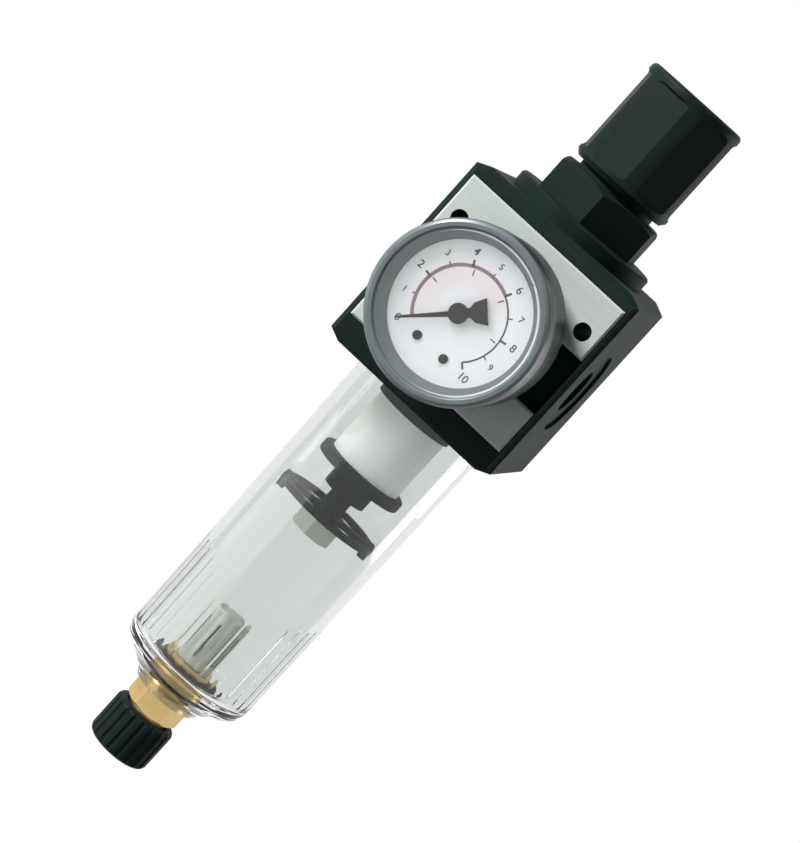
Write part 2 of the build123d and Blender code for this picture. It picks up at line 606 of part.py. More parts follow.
def coil_spring(bottom, top, radius, wire, turns, end_coils=True):
    """A compression spring, with or without a flat closed coil at each end."""
    rise = top - bottom - 2 * wire
    with BuildPart() as spring:
        with BuildLine(level(bottom + wire)) as path:
            Helix(pitch=rise / turns, height=rise, radius=radius)
        with BuildSketch(Plane(origin=path.line @ 0, z_dir=path.line % 0)):
            Circle(wire)
        sweep(path=path.line, is_frenet=True)
        if end_coils:
            with Locations(level(bottom + wire), level(top - wire)):
                Torus(radius, wire)
    return spring


write(coil_spring(PLATE_TOP, SEAT_BOTTOM, 6.3, 0.8, 4), "regulating_spring")

# Diaphragm: moulded rubber with a rolled fold between the clamped rim and the plate
RIVET_RADIUS = 2.1
RIVET_HOLE = RIVET_RADIUS + HOLE_GAP
with BuildPart() as diaphragm:
    with BuildSketch(STEM_SECTION):
        low, high = DIAPHRAGM_HEIGHT, CLAMP_HEIGHT
        with BuildLine():
            Polyline((13.2, low), (CLAMP_RADIUS - 0.2, low), (CLAMP_RADIUS - 0.2, high),
                     (FOLD_RADIUS, high))
            ThreePointArc((FOLD_RADIUS, high), (11.8, high + 1.7), (10.1, high))
            Polyline((10.1, high), (RIVET_HOLE, high), (RIVET_HOLE, low), (10.4, low))
            ThreePointArc((10.4, low), (11.8, low + 1.9), (13.2, low))
        make_face()
    revolve(axis=STEM_AXIS)
write(diaphragm, "diaphragm")

# Diaphragm plate: it centres the spring, and its tubular rivet is the seat of the relief valve
RELIEF_RADIUS = 0.9
with BuildPart() as diaphragm_plate:
    with BuildSketch(STEM_SECTION):
        with BuildLine():
            Polyline((RELIEF_RADIUS, 20), (RIVET_RADIUS, 20), (RIVET_RADIUS, CLAMP_HEIGHT),
                     (9.8, CLAMP_HEIGHT), (9.8, PLATE_TOP - 1), (8.8, PLATE_TOP), (5.3, PLATE_TOP),
                     (4.9, PLATE_TOP + 1.6),
                     (RELIEF_RADIUS, PLATE_TOP + 1.6), close=True)
        make_face()
    revolve(axis=STEM_AXIS)
write(diaphragm_plate, "diaphragm_plate")

# Washer that the rivet holds against the diaphragm from below
with BuildPart() as diaphragm_washer:
    with BuildSketch(level(DIAPHRAGM_HEIGHT)):
        Circle(8)
        Circle(RIVET_HOLE, mode=Mode.SUBTRACT)
    extrude(amount=-0.8)
write(diaphragm_washer, "diaphragm_washer")

# Valve: the pin that the diaphragm pushes, the head and the guided tail in one piece
TAIL_RADIUS = 1.6
with BuildPart() as valve_poppet:
    with BuildSketch(STEM_SECTION):
        with BuildLine():
            Polyline((0, 19.9), (0.7, 19.9), (VALVE_PIN_RADIUS, 19.4), (VALVE_PIN_RADIUS, VALVE_HEAD_TOP),
                     (5.4, VALVE_HEAD_TOP), (5.4, VALVE_HEAD_BOTTOM), (TAIL_RADIUS, VALVE_HEAD_BOTTOM),
                     (TAIL_RADIUS, -15.3), (1.3, -15.7), (0, -15.7), close=True)
        make_face()
    revolve(axis=STEM_AXIS)
write(valve_poppet, "valve_poppet")

# Rubber face of the valve head, a hair below the seat
with BuildPart() as valve_seal:
    with BuildSketch(level(VALVE_HEAD_TOP)):
        Circle(5.3)
        Circle(VALVE_PIN_RADIUS + HOLE_GAP, mode=Mode.SUBTRACT)
    extrude(amount=VALVE_SEAT_FACE - HOLE_GAP - VALVE_HEAD_TOP)
write(valve_seal, "valve_seal")

write(coil_spring(GUIDE_TOP, VALVE_HEAD_BOTTOM, 3.6, 0.4, 4, end_coils=False), "valve_spring")

# Filter holder: plug screwed into the boss, guide of the valve tail and stud for the filter
HEAD_RADIUS = 9.2
HEAD_BOTTOM = -19.0
with BuildPart() as filter_holder:
    with BuildSketch(STEM_SECTION):
        with BuildLine():
            Polyline((TAIL_RADIUS + RUNNING_GAP, GUIDE_TOP), (VALVE_ROOM_RADIUS - HOLE_GAP, GUIDE_TOP),
                     (VALVE_ROOM_RADIUS - HOLE_GAP, BOSS_BOTTOM), (HEAD_RADIUS, BOSS_BOTTOM),
                     (HEAD_RADIUS, HEAD_BOTTOM), (3, HEAD_BOTTOM), (STUD_RADIUS, HEAD_BOTTOM - 1.5),
                     (STUD_RADIUS, STUD_BOTTOM), (0, STUD_BOTTOM), (0, BOSS_BOTTOM - 0.2),
                     (TAIL_RADIUS + RUNNING_GAP, BOSS_BOTTOM - 0.2), close=True)
        make_face()
    revolve(axis=STEM_AXIS)
    with BuildSketch(level(-20)):
        with PolarLocations(5.2, 6):
            Circle(1.1)
    extrude(amount=6, mode=Mode.SUBTRACT)
write(filter_holder, "filter_holder")

# Deflector: slanted vanes that set the air spinning, with a skirt over the top of the filter
SHELF_BOTTOM = HEAD_BOTTOM - 0.6
VANE_HEIGHT = -18.5
with BuildPart() as deflector:
    with BuildSketch(STEM_SECTION):
        with BuildLine():
            Polyline((HEAD_RADIUS + 0.1, -12.8), (10.5, -12.8), (10.5, -30), (9.95, -30),
                     (9.95, SHELF_BOTTOM), (7.6, SHELF_BOTTOM), (7.6, HEAD_BOTTOM),
                     (HEAD_RADIUS + 0.1, HEAD_BOTTOM), close=True)
        make_face()
        with Locations((14.7, VANE_HEIGHT)):
            Rectangle(0.6, 7)
    revolve(axis=STEM_AXIS)
    with Locations(level(VANE_HEIGHT)):
        with PolarLocations(12.5, 8):
            Box(4.2, 0.9, 7.4, rotation=(38, 0, 0))
write(deflector, "deflector")

# Flat gasket between the deflector and the filter
with BuildPart() as element_gasket:
    with BuildSketch(level(ELEMENT_TOP)):
        Circle(9.3)
        Circle(6.4, mode=Mode.SUBTRACT)
    extrude(amount=SHELF_BOTTOM - ELEMENT_TOP)
write(element_gasket, "element_gasket")

# Sintered filter sleeve
with BuildPart() as filter_element:
    with BuildSketch(level(ELEMENT_BOTTOM)):
        Circle(ELEMENT_RADIUS)
        Circle(ELEMENT_BORE, mode=Mode.SUBTRACT)
    extrude(amount=ELEMENT_TOP - ELEMENT_BOTTOM)
write(filter_element, "filter_element")

# Clamp disc under the filter, with its hub
STUD_HOLE = STUD_RADIUS + HOLE_GAP
DISC_BOTTOM = ELEMENT_BOTTOM - 2.9
with BuildPart() as element_plate:
    with BuildSketch(STEM_SECTION):
        with BuildLine():
            Polyline((STUD_HOLE, ELEMENT_BOTTOM), (11.5, ELEMENT_BOTTOM), (11.9, ELEMENT_BOTTOM - 0.4),
                     (11.9, DISC_BOTTOM + 0.4), (11.5, DISC_BOTTOM), (5.8, DISC_BOTTOM),
                     (5.8, HUB_BOTTOM), (STUD_HOLE, HUB_BOTTOM), close=True)
        make_face()
    revolve(axis=STEM_AXIS)
write(element_plate, "element_plate")

# Baffle over the still water: an open ring on four spokes, with two hanging tabs
BAFFLE_TURN = 9
BAFFLE_THICKNESS = 1.4
BAFFLE_BOTTOM = BAFFLE_HEIGHT - BAFFLE_THICKNESS / 2
with BuildPart() as baffle:
    with BuildSketch(level(BAFFLE_BOTTOM)):
        Circle(BAFFLE_RADIUS)
        Circle(BAFFLE_RADIUS - 2.2, mode=Mode.SUBTRACT)
        for angle in (BAFFLE_TURN, BAFFLE_TURN + 90):
            with Locations(Location((0, 0, 0), (0, 0, angle))):
                Rectangle(2 * BAFFLE_RADIUS - 1.5, 2.6)
        Circle(4.5)
    extrude(amount=BAFFLE_THICKNESS)
    with BuildSketch(level(BAFFLE_HEIGHT - 2.8)):
        with PolarLocations(BAFFLE_RADIUS - 1.3, 2, start_angle=BAFFLE_TURN):
            Rectangle(2, 3.4)
    extrude(amount=4.2)
    with BuildSketch(level(BAFFLE_HEIGHT)):
        Circle(3)
    extrude(amount=HUB_BOTTOM - BAFFLE_HEIGHT)
    with BuildSketch(level(BAFFLE_HEIGHT - 1)):
        Circle(STUD_HOLE)
    extrude(amount=8, mode=Mode.SUBTRACT)
write(baffle, "baffle")

# Eight-sided nut on the stud, which clamps baffle, disc and filter together
with BuildPart() as baffle_nut:
    with BuildSketch(level(STUD_BOTTOM - 0.5)):
        RegularPolygon(radius=5.4, side_count=8)
        Circle(STUD_HOLE, mode=Mode.SUBTRACT)
    extrude(amount=BAFFLE_BOTTOM - STUD_BOTTOM + 0.5)
write(baffle_nut, "baffle_nut")

# Bowl: clear moulding with a thread collar, a slight taper, and fine ribs inside the sump
BOWL_MOUTH = (15.8, COLLAR_TOP)
SHELF_HEIGHT = BODY_BOTTOM - 0.3
CONE_EDGE = (13.9, -114.4)
INNER_FOOT = (BOWL_FOOT_RADIUS - BOWL_WALL, -107.2)
FLOOR_EDGE = (12.2, BOWL_FLOOR + 0.8)
RIB_BOTTOM = -110.0
groove_radius, groove_top, groove_bottom = O_RING_GROOVE
with BuildPart() as bowl:
    with BuildSketch(STEM_SECTION):
        with BuildLine():
            Polyline(BOWL_MOUTH, (COLLAR_RADIUS - 0.4, COLLAR_TOP), (COLLAR_RADIUS, COLLAR_TOP - 0.4),
                     (COLLAR_RADIUS, groove_top), (groove_radius, groove_top),
                     (groove_radius, groove_bottom), (COLLAR_RADIUS, groove_bottom),
                     (COLLAR_RADIUS, SHELF_HEIGHT), (BOWL_RADIUS, SHELF_HEIGHT),
                     (BOWL_FOOT_RADIUS, BOWL_SHOULDER))
            ThreePointArc((BOWL_FOOT_RADIUS, BOWL_SHOULDER), (16.7, -112.7), CONE_EDGE)
            Polyline(CONE_EDGE, (BOWL_NECK_RADIUS, BOWL_BOTTOM + 1.1),
                     (BOWL_NECK_RADIUS - 0.4, BOWL_BOTTOM), (DRAIN_HOLE, BOWL_BOTTOM),
                     (DRAIN_HOLE, BOWL_FLOOR), (8, BOWL_FLOOR), FLOOR_EDGE)
            ThreePointArc(FLOOR_EDGE, (14.4, -109.8), INNER_FOOT)
            Line(INNER_FOOT, BOWL_MOUTH)
        make_face()
    revolve(axis=STEM_AXIS)
    with BuildSketch(level(RIB_BOTTOM)):
        with PolarLocations(INNER_FOOT[0] + 0.1, RIB_COUNT):
            Rectangle(1, 1.1)
    extrude(amount=RIB_TOP - RIB_BOTTOM)
write(bowl, "bowl")

# O-ring in the groove of the collar
with BuildPart() as bowl_o_ring:
    with Locations(level((groove_top + groove_bottom) / 2)):
        Torus(16.85, 0.6)
write(bowl_o_ring, "bowl_o_ring")

# Drain body: a brass tube through the bowl's neck, with a flange inside and a thread below
FLANGE_BOTTOM = -110.6
SHANK_BOTTOM = -130.0
with BuildPart() as drain_body:
    with BuildSketch(STEM_SECTION):
        with BuildLine():
            Polyline((2.3, DRAIN_HEAD_TOP), (6.8, DRAIN_HEAD_TOP), (6.8, FLANGE_BOTTOM),
                     (DRAIN_SHANK_RADIUS, FLANGE_BOTTOM), (DRAIN_SHANK_RADIUS, SHANK_BOTTOM + 0.4),
                     (DRAIN_SHANK_RADIUS - 0.4, SHANK_BOTTOM), (3.6, SHANK_BOTTOM), (3.6, -124),
                     (2.3, -123), close=True)
        make_face()
    revolve(axis=STEM_AXIS)
write(drain_body, "drain_body")

# Gasket between that flange and the floor of the bowl
with BuildPart() as drain_gasket:
    with BuildSketch(level(BOWL_FLOOR)):
        Circle(7.6)
        Circle(DRAIN_HOLE, mode=Mode.SUBTRACT)
    extrude(amount=FLANGE_BOTTOM - BOWL_FLOOR)
write(drain_gasket, "drain_gasket")

# Hexagon nut that draws the drain body down against the neck, chamfered on both faces
NUT_ACROSS_FLATS = 12.6
with BuildPart() as drain_nut:
    with BuildSketch(level(DRAIN_NUT_BOTTOM)):
        RegularPolygon(radius=NUT_ACROSS_FLATS / sqrt(3), side_count=6, rotation=10)
    extrude(amount=BOWL_BOTTOM - DRAIN_NUT_BOTTOM)
    for height, direction in ((BOWL_BOTTOM, 1), (DRAIN_NUT_BOTTOM, -1)):
        with BuildSketch(STEM_SECTION):
            with BuildLine():
                Polyline((NUT_ACROSS_FLATS / 2, height), (7.9, height - 0.9 * direction),
                         (7.9, height + direction), (NUT_ACROSS_FLATS / 2, height + direction), close=True)
            make_face()
        revolve(axis=STEM_AXIS, mode=Mode.SUBTRACT)
    with BuildSketch(level(DRAIN_NUT_BOTTOM - 1)):
        Circle(DRAIN_HOLE)
    extrude(amount=8, mode=Mode.SUBTRACT)
write(drain_nut, "drain_nut")

# Guide: a slotted cap over the drain valve, which keeps dirt off it
GUIDE_CAP = -93.6
with BuildPart() as drain_guide:
    with BuildSketch(STEM_SECTION):
        with BuildLine():
            Polyline((3.7, DRAIN_HEAD_TOP), (4.7, DRAIN_HEAD_TOP), (4.7, GUIDE_CAP - 0.6), (4.2, GUIDE_CAP),
                     (0, GUIDE_CAP), (0, GUIDE_CAP - 1.2), (3.7, GUIDE_CAP - 1.2), close=True)
        make_face()
    revolve(axis=STEM_AXIS)
    for index in range(3):
        angle = radians(60 * index)
        with BuildSketch(Plane(level(-101.5).origin, x_dir=(cos(angle), sin(angle), 0),
                               z_dir=(-sin(angle), cos(angle), 0))):
            SlotOverall(10, 1.5, rotation=90)
        extrude(amount=6, both=True, mode=Mode.SUBTRACT)
write(drain_guide, "drain_guide")

# Drain stem: a head above the seat and a pin down to the knob, which lifts it
STEM_HEAD = (3.4, -104.6, -107.4)
with BuildPart() as drain_stem:
    with BuildSketch(STEM_SECTION):
        with BuildLine():
            head_radius, head_top, head_bottom = STEM_HEAD
            Polyline((0, head_top), (head_radius - 0.6, head_top), (head_radius, head_top - 0.8),
                     (head_radius, head_bottom), (DRAIN_STEM_RADIUS, head_bottom),
                     (DRAIN_STEM_RADIUS, -133.4), (0, -133.4), close=True)
        make_face()
    revolve(axis=STEM_AXIS)
write(drain_stem, "drain_stem")

# Rubber ring under the head of the stem, which closes the drain
with BuildPart() as drain_seal:
    with BuildSketch(level(DRAIN_HEAD_TOP + HOLE_GAP)):
        Circle(head_radius)
        Circle(DRAIN_STEM_RADIUS + HOLE_GAP, mode=Mode.SUBTRACT)
    extrude(amount=1.35)
write(drain_seal, "drain_seal")

# Drain knob: a hollow fluted cap on the lower end of the drain body
UPPER_ROUND = 1.3
LOWER_ROUND = 1.6
HOLLOW_RADIUS = 5.7
STEM_BORE = DRAIN_STEM_RADIUS + RUNNING_GAP
knob_edge = ((DRAIN_KNOB_RADIUS - UPPER_ROUND, DRAIN_KNOB_TOP),
             (DRAIN_KNOB_RADIUS, DRAIN_KNOB_TOP - UPPER_ROUND),
             (DRAIN_KNOB_RADIUS, DRAIN_KNOB_BOTTOM + LOWER_ROUND),
             (DRAIN_KNOB_RADIUS - LOWER_ROUND, DRAIN_KNOB_BOTTOM))
with BuildPart() as drain_knob:
    with BuildSketch(STEM_SECTION):
        with BuildLine():
            Polyline((HOLLOW_RADIUS, DRAIN_KNOB_TOP - 1), (6.4, DRAIN_KNOB_TOP), knob_edge[0])
            RadiusArc(knob_edge[0], knob_edge[1], UPPER_ROUND)
            Line(knob_edge[1], knob_edge[2])
            RadiusArc(knob_edge[2], knob_edge[3], LOWER_ROUND)
            Polyline(knob_edge[3], (4.8, DRAIN_KNOB_BOTTOM), (4.8, -135.4), (STEM_BORE, -135.4),
                     (STEM_BORE, -131), (HOLLOW_RADIUS, -131), (HOLLOW_RADIUS, DRAIN_KNOB_TOP - 1))
        make_face()
    revolve(axis=STEM_AXIS)
    with BuildSketch(level(-139)):
        with PolarLocations(DRAIN_KNOB_RADIUS + 0.25, DRAIN_FLUTES):
            Circle(0.75)
    extrude(amount=15, mode=Mode.SUBTRACT)
    with BuildSketch(level(-137)):
        with PolarLocations(3.3, 4):
            Circle(0.9)
    extrude(amount=7, mode=Mode.SUBTRACT)
write(drain_knob, "drain_knob")
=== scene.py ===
import math

import bpy
from mathutils import Matrix, Vector


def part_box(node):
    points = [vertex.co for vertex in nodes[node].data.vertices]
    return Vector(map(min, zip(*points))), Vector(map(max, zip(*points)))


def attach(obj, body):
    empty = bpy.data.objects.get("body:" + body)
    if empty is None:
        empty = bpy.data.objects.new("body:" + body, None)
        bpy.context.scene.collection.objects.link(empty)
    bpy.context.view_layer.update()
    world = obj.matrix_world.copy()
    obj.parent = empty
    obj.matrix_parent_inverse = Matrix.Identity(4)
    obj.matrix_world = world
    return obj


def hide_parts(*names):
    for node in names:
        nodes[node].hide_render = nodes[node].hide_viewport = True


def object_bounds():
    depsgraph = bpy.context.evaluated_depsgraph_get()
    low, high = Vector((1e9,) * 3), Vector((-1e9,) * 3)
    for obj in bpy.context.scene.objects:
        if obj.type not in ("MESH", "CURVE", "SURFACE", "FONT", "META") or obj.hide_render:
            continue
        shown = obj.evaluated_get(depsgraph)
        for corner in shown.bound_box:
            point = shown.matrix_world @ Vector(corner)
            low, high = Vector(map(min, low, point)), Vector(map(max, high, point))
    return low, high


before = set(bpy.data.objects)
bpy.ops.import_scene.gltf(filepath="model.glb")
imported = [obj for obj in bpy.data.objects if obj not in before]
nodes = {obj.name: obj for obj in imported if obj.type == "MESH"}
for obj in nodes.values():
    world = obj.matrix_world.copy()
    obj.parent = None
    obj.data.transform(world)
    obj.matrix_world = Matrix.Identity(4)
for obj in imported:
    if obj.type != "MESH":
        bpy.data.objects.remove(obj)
cad_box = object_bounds()

# Block of the filter regulator, screwed to the wall by two long screws; all else hangs on it.
# It is a zinc die casting with a black satin coat, which keeps a faint grain of the casting,
# and its sharp cast edges are eased.
MM = 0.001
TOUCHING = 0.001 * MM
STEM_Y = -22 * MM
PORT_Z = -13 * MM


class Value:
    """A number that varies over a surface. Arithmetic on it adds Math nodes."""

    def __init__(self, finish, socket):
        self.finish = finish
        self.socket = socket

    def math(self, operation, *values):
        return self.finish.node("ShaderNodeMath", {"operation": operation}, *values)

    def __add__(self, other):
        return self.math("ADD", self, other)

    def __sub__(self, other):
        return self.math("SUBTRACT", self, other)

    def __rsub__(self, other):
        return self.math("SUBTRACT", other, self)

    def __mul__(self, other):
        return self.math("MULTIPLY", self, other)

    __radd__ = __add__
    __rmul__ = __mul__

    def root(self):
        return self.math("SQRT", self)

    def soft_step(self, low, high):
        """0 below low and 1 above high, with a smooth rise between them."""
        smooth = {"interpolation_type": "SMOOTHSTEP"}
        return self.finish.node("ShaderNodeMapRange", smooth, self, low, high)


class Finish:
    """A material with one Principled shader, built node by node."""

    def __init__(self, name, **constants):
        self.material = bpy.data.materials.new(name)
        self.material.use_nodes = True
        self.tree = self.material.node_tree
        self.shader = self.tree.nodes["Principled BSDF"]
        for label, value in constants.items():
            self.shader.inputs[label.replace("_", " ")].default_value = value
        self.place = self.node("ShaderNodeTexCoord", {}, output="Object")

    def node(self, kind, settings, *values, output=0, **named):
        """Adds a node: its settings first, then its sockets, by position or by name."""
        node = self.tree.nodes.new(kind)
        for label, value in settings.items():
            setattr(node, label, value)
        given = [(node.inputs[index], value) for index, value in enumerate(values)]
        for label, value in named.items():
            wanted = label.replace("_", " ")
            given.append((next(s for s in node.inputs if s.name == wanted and s.enabled), value))
        for socket, value in given:
            if isinstance(value, Value):
                self.tree.links.new(value.socket, socket)
            else:
                socket.default_value = value
        if isinstance(output, int):
            return Value(self, node.outputs[output])
        return Value(self, next(s for s in node.outputs if s.name == output and s.enabled))

    def along(self, axis):
        """The object coordinate along X, Y or Z, in metres."""
        return self.node("ShaderNodeSeparateXYZ", {}, self.place, output=axis)

    def noise(self, scale, detail=3, stretch=(1, 1, 1)):
        """Cloudy noise from 0 to 1, with this many cells to a metre."""
        point = self.node("ShaderNodeMapping", {}, Vector=self.place, Scale=stretch)
        return self.node("ShaderNodeTexNoise", {}, Vector=point, Scale=scale, Detail=detail)

    def blend(self, share, first, second):
        """One colour going over to another as the share rises from 0 to 1."""
        first, second = (c if isinstance(c, Value) else (*c, 1) for c in (first, second))
        colours = {"data_type": "RGBA"}
        return self.node("ShaderNodeMix", colours, Factor=share, A=first, B=second, output="Result")

    def feed(self, **sockets):
        """Links what varies over the surface to the shader's sockets."""
        for label, value in sockets.items():
            self.tree.links.new(value.socket, self.shader.inputs[label.replace("_", " ")])
        return self

    def bump(self, height, distance):
        """Relief: the height's 0 to 1 stands this many metres proud."""
        return self.feed(Normal=self.node("ShaderNodeBump", {}, Height=height, Distance=distance))

    def on(self, *names):
        """Gives CAD nodes this material."""
        for name in names:
            nodes[name].material_slots[0].material = self.material
        return self


def only(piece):
    """Selects one piece and nothing else."""
    bpy.ops.object.select_all(action="DESELECT")
    piece.select_set(True)
    bpy.context.view_layer.objects.active = piece


def dressed(piece, finish, body):
    """Gives a finished piece its material and its body."""
    piece.data.materials.clear()
    piece.data.materials.append(finish.material)
    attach(piece, body)
    return piece


def eased(node, radius, steps=2, sharp=30):
    """A copy of a CAD node, which takes its place, with the edges rounded that turn by more than sharp."""
    piece = bpy.data.objects.new(node + "_eased", nodes[node].data.copy())
    bpy.context.scene.collection.objects.link(piece)
    only(piece)
    bpy.ops.mesh.customdata_custom_splitnormals_clear()
    bpy.ops.object.mode_set(mode="EDIT")
    bpy.ops.mesh.select_all(action="SELECT")
    bpy.ops.mesh.remove_doubles(threshold=TOUCHING)
    bpy.ops.mesh.dissolve_limited(angle_limit=math.radians(0.3))
    bpy.ops.object.mode_set(mode="OBJECT")
    bpy.ops.object.shade_smooth()
    bevel = piece.modifiers.new("rounding", "BEVEL")
    bevel.width = radius
    bevel.segments = steps
    bevel.limit_method = "ANGLE"
    bevel.angle_limit = math.radians(sharp)
    bevel.harden_normals = True
    bpy.ops.object.modifier_apply(modifier="rounding")
    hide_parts(node)
    return piece


def swept(name, profile, steps, turn=360, turns=1, pitch=0.0):
    """Sweeps a closed profile of radius and height, in millimetres, round the Z axis in degrees."""
    bpy.ops.object.select_all(action="DESELECT")
    bpy.ops.mesh.primitive_plane_add(size=MM)
    piece = bpy.context.object
    piece.name = name
    bpy.ops.object.mode_set(mode="EDIT")
    bpy.ops.mesh.select_all(action="SELECT")
    bpy.ops.mesh.merge(type="CENTER")
    bpy.ops.transform.translate(value=(profile[0][0] * MM, 0, profile[0][1] * MM))
    for (radius, height), (next_radius, next_height) in zip(profile, profile[1:] + profile[:1]):
        way = ((next_radius - radius) * MM, 0, (next_height - height) * MM)
        bpy.ops.mesh.extrude_region_move(TRANSFORM_OT_translate={"value": way})
    bpy.ops.mesh.select_all(action="SELECT")
    bpy.ops.mesh.remove_doubles(threshold=TOUCHING)
    bpy.ops.object.mode_set(mode="OBJECT")
    sweep = piece.modifiers.new("sweep", "SCREW")
    sweep.angle = math.radians(turn)
    sweep.steps = steps
    sweep.render_steps = steps
    sweep.iterations = turns
    sweep.screw_offset = pitch * MM
    sweep.use_merge_vertices = True
    sweep.merge_threshold = TOUCHING
    bpy.ops.object.modifier_apply(modifier="sweep")
    bpy.ops.object.mode_set(mode="EDIT")
    bpy.ops.mesh.select_all(action="SELECT")
    bpy.ops.mesh.fill_holes(sides=0)
    bpy.ops.mesh.select_all(action="SELECT")
    bpy.ops.mesh.normals_make_consistent(inside=False)
    bpy.ops.object.mode_set(mode="OBJECT")
    return piece


def placed(piece, location, rotation=(0, 0, 0)):
    """Moves a finished piece into the frame, turned in degrees, and leaves its origin at zero."""
    only(piece)
    piece.location = location
    piece.rotation_euler = [math.radians(angle) for angle in rotation]
    bpy.ops.object.transform_apply(location=True, rotation=True, scale=True)
    bpy.ops.object.shade_smooth_by_angle(angle=math.radians(35))
    return piece


coat = Finish("black_casting_coat", Specular_IOR_Level=0.05)
grain = coat.noise(2600, 4)
clouds = coat.noise(90, 2)
coat.feed(Base_Color=coat.blend(clouds, (0.004, 0.010, 0.009), (0.010, 0.018, 0.016)),
          Roughness=0.5 + 0.12 * clouds + 0.06 * grain)
coat.bump(grain, 0.00004)
dressed(eased("body", 0.25 * MM), coat, "housing")

# Pipe threads of the two side ports, tapped into the casting in eight turns from each face.
# The block is coated after they are cut, so they are as black as the rest of it.
PORT_BORE = 5.98
PORT_CREST = 5.5
PORT_PITCH = 1.34
PORT_TURNS = 8
PORT_THREAD_END = 12.9 * MM
port_ridge = [(PORT_BORE, -0.6), (PORT_BORE, 0.6), (PORT_CREST, 0.12), (PORT_CREST, -0.12)]
for name, side in (("outlet_thread", 1), ("inlet_thread", -1)):
    thread = swept(name, port_ridge, 64, turns=PORT_TURNS, pitch=PORT_PITCH)
    placed(thread, (side * PORT_THREAD_END, STEM_Y, PORT_Z), (0, side * 90, 0))
    dressed(thread, coat, "housing")

# Front plate, pressed from sheet aluminium with a bevelled rim and stuck into its seat.
# It is brushed lengthwise and clear anodised, which leaves it a slightly green silver.
plate = Finish("satin_aluminium", Metallic=0.1, Specular_IOR_Level=0.1)
brushed = plate.noise(900, 3, (0.06, 1, 3))
plate.feed(Base_Color=plate.blend(brushed, (0.37, 0.40, 0.38), (0.46, 0.50, 0.48)),
           Roughness=0.42 + 0.14 * brushed)
plate.bump(brushed, 0.00001).on("front_plate")

# Brass pieces: the valve seat pressed into the block, the valve, the gauge's shank and
# movement, and the drain. They are turned from bar and carry fine rings and some tarnish.
brass = Finish("turned_brass", Metallic=1.0)
rings = brass.noise(700, 2, (0.3, 0.3, 6))
tarnish = brass.noise(160, 3)
brass.feed(Base_Color=brass.blend(tarnish, (0.47, 0.33, 0.13), (0.68, 0.50, 0.235)),
           Roughness=0.2 + 0.16 * tarnish + 0.08 * rings)
brass.bump(rings, 0.00001)
brass.on("valve_seat", "valve_poppet", "gauge_connection", "movement_frame", "drain_body", "drain_nut")

# Steel pieces: the plug of the spare gauge port, the spindle, the spring seat, the plates
# riveted to the diaphragm and the stud of the filter. They are turned or stamped, then zinc plated.
zinc = Finish("zinc_plated_steel", Metallic=1.0)
spangle = zinc.noise(500, 3)
zinc.feed(Base_Color=zinc.blend(spangle, (0.40, 0.41, 0.41), (0.56, 0.56, 0.54)),
          Roughness=0.22 + 0.2 * spangle)
zinc.bump(spangle, 0.00001)
zinc.on("rear_plug", "spindle", "spring_seat", "diaphragm_plate", "diaphragm_washer", "filter_holder")

# Springs and the circlip of the spindle, of bright drawn spring wire.
# Drawing leaves fine lines along the wire and a grey, oily shine.
wire = Finish("spring_wire", Metallic=1.0)
drawn = wire.noise(1400, 2)
wire.feed(Base_Color=wire.blend(drawn, (0.30, 0.30, 0.31), (0.46, 0.46, 0.47)),
          Roughness=0.25 + 0.15 * drawn)
wire.on("regulating_spring", "valve_spring", "spindle_circlip")

# Rubber pieces: the diaphragm clamped under the bonnet, the valve's face and every seal.
# They are moulded in black nitrile, with a dull grey bloom.
rubber = Finish("black_rubber", Specular_IOR_Level=0.3)
bloom = rubber.noise(600, 3)
rubber.feed(Base_Color=rubber.blend(bloom, (0.012, 0.013, 0.012), (0.035, 0.036, 0.034)),
            Roughness=0.55 + 0.2 * bloom)
rubber.bump(bloom, 0.00002).on("diaphragm", "valve_seal", "element_gasket", "bowl_o_ring", "drain_seal")

# Gasket under the flange of the drain, a washer of the same rubber that covers the flat floor of
# the bowl. Its upper edge is rounded, and it is seen through the bowl as a dark ring.
SUMP_FLOOR = -112
GASKET_TOP = -110.6
GASKET_BORE = 5.44
GASKET_EDGE = 9.7
underside = [(GASKET_BORE, SUMP_FLOOR), (GASKET_EDGE - 0.1, SUMP_FLOOR), (GASKET_EDGE, SUMP_FLOOR + 0.1)]
upper_side = [(GASKET_EDGE, GASKET_TOP - 0.3), (GASKET_EDGE - 0.3, GASKET_TOP), (GASKET_BORE, GASKET_TOP)]
gasket = swept("drain_washer", underside + upper_side, 96)
placed(gasket, (0, STEM_Y, PORT_Z))
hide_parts("drain_gasket")
dressed(gasket, rubber, "bowl")

# Bonnet, screwed into the block over the diaphragm, and the deflector, clamp disc and baffle
# on the filter stud. All are glass filled nylon, moulded in black with a fine matt grain.
nylon = Finish("black_nylon", Specular_IOR_Level=0.05)
flow = nylon.noise(120, 3)
matt = nylon.noise(2400, 3)
nylon.feed(Base_Color=nylon.blend(flow, (0.003, 0.008, 0.007), (0.008, 0.015, 0.013)),
           Roughness=0.5 + 0.12 * flow + 0.06 * matt)
nylon.bump(matt, 0.00002).on("deflector")
for name, ease in (("bonnet", 0.25), ("element_plate", 0.2), ("baffle", 0.25)):
    dressed(eased(name, ease * MM), nylon, "housing")

